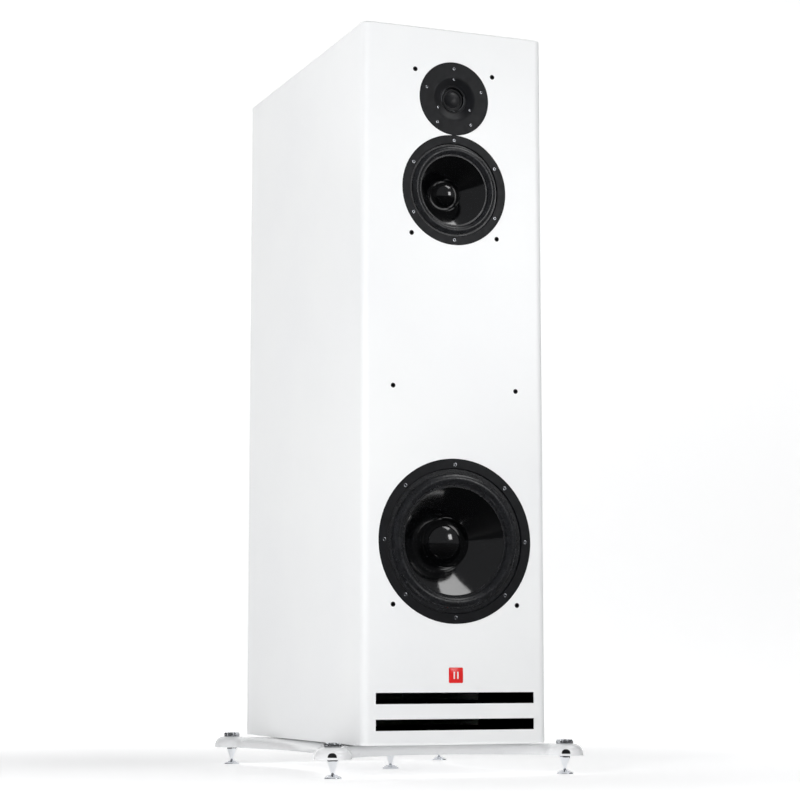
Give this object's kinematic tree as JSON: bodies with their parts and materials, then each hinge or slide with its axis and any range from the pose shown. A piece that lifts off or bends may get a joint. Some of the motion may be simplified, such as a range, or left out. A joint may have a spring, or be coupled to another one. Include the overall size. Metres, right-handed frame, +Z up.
{
  "type": "floorstanding speaker",
  "caption": "Tall white three-way floorstanding speaker with a dome tweeter, midrange, large woofer, slot ports and a lobed base on chrome pointed feet.",
  "frame": {"origin": "on the floor, under the middle of the part's box", "axes": "+Z up, the front baffle faces -Y, +X to the right seen from the front"},
  "size_m": [0.444, 0.578, 1.17],
  "materials": {
    "lacquered_panel": "gloss white lacquer",
    "lacquered_base": "gloss white lacquer",
    "bare_board": "matte",
    "black_liner": "matte",
    "black_moulding": "matte",
    "red_enamel": "gloss",
    "cast_frame": "satin black paint",
    "surround_rubber": "satin",
    "polished_cone": "gloss",
    "coil_former": "satin",
    "spider_cloth": "matte",
    "motor_steel": "satin",
    "ferrite": "matte",
    "black_screw": "black",
    "silk_dome": "satin",
    "polished_chrome": "polished",
    "gold_plate": "polished",
    "red_cap": "gloss",
    "black_cap": "gloss",
    "pad_rubber": "matte",
    "circuit_board": "satin"
  },
  "bodies": {
    "root": {"front_baffle": "lacquered_panel", "left_side_panel": "lacquered_panel", "right_side_panel": "lacquered_panel", "top_panel": "lacquered_panel", "bottom_panel": "lacquered_panel", "rear_panel": "lacquered_panel", "base_plate": "lacquered_base", "internal_braces": "bare_board", "port_shelves": "bare_board", "port_liners": "black_liner", "grille_sockets": "black_moulding", "lobe_plugs": "black_moulding", "terminal_cup": "black_moulding", "badge": "red_enamel", "woofer_basket": "cast_frame", "mid_basket": "cast_frame", "tweeter_faceplate": "cast_frame", "woofer_surround": "surround_rubber", "mid_surround": "surround_rubber", "woofer_spider": "spider_cloth", "mid_spider": "spider_cloth", "woofer_top_plate": "motor_steel", "woofer_yoke": "motor_steel", "mid_motor": "motor_steel", "tweeter_motor": "motor_steel", "woofer_magnet": "ferrite", "woofer_screws": "black_screw", "mid_screws": "black_screw", "tweeter_screws": "black_screw", "terminal_screws": "black_screw", "base_bolts": "black_screw", "tweeter_surround": "silk_dome", "tweeter_trim_ring": "polished_chrome", "terminal_posts": "gold_plate", "cabinet_pads": "pad_rubber", "crossover": "circuit_board"},
    "woofer_diaphragm": {"woofer_cone": "polished_cone", "woofer_dust_cap": "polished_cone", "woofer_voice_coil": "coil_former"},
    "mid_diaphragm": {"mid_cone": "polished_cone", "mid_dust_cap": "polished_cone", "mid_voice_coil": "coil_former"},
    "tweeter_diaphragm": {"tweeter_dome": "silk_dome", "tweeter_voice_coil": "coil_former"},
    "foot_front_left_shoe": {"foot_shoe_front_left": "polished_chrome"},
    "foot_front_left_spike": {"foot_spike_front_left": "polished_chrome"},
    "foot_front_left_knob": {"foot_knob_front_left": "polished_chrome"},
    "foot_front_right_shoe": {"foot_shoe_front_right": "polished_chrome"},
    "foot_front_right_spike": {"foot_spike_front_right": "polished_chrome"},
    "foot_front_right_knob": {"foot_knob_front_right": "polished_chrome"},
    "foot_rear_left_shoe": {"foot_shoe_rear_left": "polished_chrome"},
    "foot_rear_left_spike": {"foot_spike_rear_left": "polished_chrome"},
    "foot_rear_left_knob": {"foot_knob_rear_left": "polished_chrome"},
    "foot_rear_right_shoe": {"foot_shoe_rear_right": "polished_chrome"},
    "foot_rear_right_spike": {"foot_spike_rear_right": "polished_chrome"},
    "foot_rear_right_knob": {"foot_knob_rear_right": "polished_chrome"},
    "foot_centre_shoe": {"foot_shoe_centre": "polished_chrome"},
    "foot_centre_spike": {"foot_spike_centre": "polished_chrome"},
    "terminal_cap_black": {"terminal_cap_black": "black_cap"},
    "terminal_cap_red": {"terminal_cap_red": "red_cap"}
  },
  "joints": [
    {"name": "woofer_travel", "type": "slide", "parent": "root", "child": "woofer_diaphragm", "axis": [0, -1, 0], "range_m": [-0.006, 0.006], "stiffness_N_per_m": 1100, "deforming": ["woofer_surround", "woofer_spider"]},
    {"name": "mid_travel", "type": "slide", "parent": "root", "child": "mid_diaphragm", "axis": [0, -1, 0], "range_m": [-0.003, 0.003], "stiffness_N_per_m": 1500, "deforming": ["mid_surround", "mid_spider"]},
    {"name": "tweeter_travel", "type": "slide", "parent": "root", "child": "tweeter_diaphragm", "axis": [0, -1, 0], "range_m": [-0.0004, 0.0004], "stiffness_N_per_m": 5000, "deforming": ["tweeter_surround"]},
    {"name": "foot_front_left_height", "type": "slide", "parent": "root", "child": "foot_front_left_shoe", "axis": [0, 0, -1], "range_m": [0, 0.01]},
    {"name": "foot_front_left_turn", "type": "hinge", "parent": "foot_front_left_shoe", "child": "foot_front_left_spike", "pos_m": [-0.193, -0.26, 0.015], "axis": [0, 0, -1], "range_deg": [0, 2400]},
    {"name": "foot_front_left_lock", "type": "hinge", "parent": "root", "child": "foot_front_left_knob", "pos_m": [-0.193, -0.26, 0.05], "axis": [0, 0, 1], "range_deg": [0, 360]},
    {"name": "foot_front_right_height", "type": "slide", "parent": "root", "child": "foot_front_right_shoe", "axis": [0, 0, -1], "range_m": [0, 0.01]},
    {"name": "foot_front_right_turn", "type": "hinge", "parent": "foot_front_right_shoe", "child": "foot_front_right_spike", "pos_m": [0.193, -0.26, 0.015], "axis": [0, 0, -1], "range_deg": [0, 2400]},
    {"name": "foot_front_right_lock", "type": "hinge", "parent": "root", "child": "foot_front_right_knob", "pos_m": [0.193, -0.26, 0.05], "axis": [0, 0, 1], "range_deg": [0, 360]},
    {"name": "foot_rear_left_height", "type": "slide", "parent": "root", "child": "foot_rear_left_shoe", "axis": [0, 0, -1], "range_m": [0, 0.01]},
    {"name": "foot_rear_left_turn", "type": "hinge", "parent": "foot_rear_left_shoe", "child": "foot_rear_left_spike", "pos_m": [-0.193, 0.247, 0.015], "axis": [0, 0, -1], "range_deg": [0, 2400]},
    {"name": "foot_rear_left_lock", "type": "hinge", "parent": "root", "child": "foot_rear_left_knob", "pos_m": [-0.193, 0.247, 0.05], "axis": [0, 0, 1], "range_deg": [0, 360]},
    {"name": "foot_rear_right_height", "type": "slide", "parent": "root", "child": "foot_rear_right_shoe", "axis": [0, 0, -1], "range_m": [0, 0.01]},
    {"name": "foot_rear_right_turn", "type": "hinge", "parent": "foot_rear_right_shoe", "child": "foot_rear_right_spike", "pos_m": [0.193, 0.247, 0.015], "axis": [0, 0, -1], "range_deg": [0, 2400]},
    {"name": "foot_rear_right_lock", "type": "hinge", "parent": "root", "child": "foot_rear_right_knob", "pos_m": [0.193, 0.247, 0.05], "axis": [0, 0, 1], "range_deg": [0, 360]},
    {"name": "foot_centre_height", "type": "slide", "parent": "root", "child": "foot_centre_shoe", "axis": [0, 0, -1], "range_m": [0, 0.01]},
    {"name": "foot_centre_turn", "type": "hinge", "parent": "foot_centre_shoe", "child": "foot_centre_spike", "pos_m": [0, -0.0065, 0.015], "axis": [0, 0, -1], "range_deg": [0, 2400]},
    {"name": "terminal_black_turn", "type": "hinge", "parent": "root", "child": "terminal_cap_black", "pos_m": [0.022, 0.274, 0.255], "axis": [0, 1, 0], "range_deg": [0, 1440]},
    {"name": "terminal_red_turn", "type": "hinge", "parent": "root", "child": "terminal_cap_red", "pos_m": [-0.022, 0.274, 0.255], "axis": [0, 1, 0], "range_deg": [0, 1440]}
  ],
  "couplings": [
    {"joint": "foot_front_left_turn", "follows": "foot_front_left_height", "rad_per_m": 4188.8},
    {"joint": "foot_front_right_turn", "follows": "foot_front_right_height", "rad_per_m": 4188.8},
    {"joint": "foot_rear_left_turn", "follows": "foot_rear_left_height", "rad_per_m": 4188.8},
    {"joint": "foot_rear_right_turn", "follows": "foot_rear_right_height", "rad_per_m": 4188.8},
    {"joint": "foot_centre_turn", "follows": "foot_centre_height", "rad_per_m": 4188.8}
  ]
}
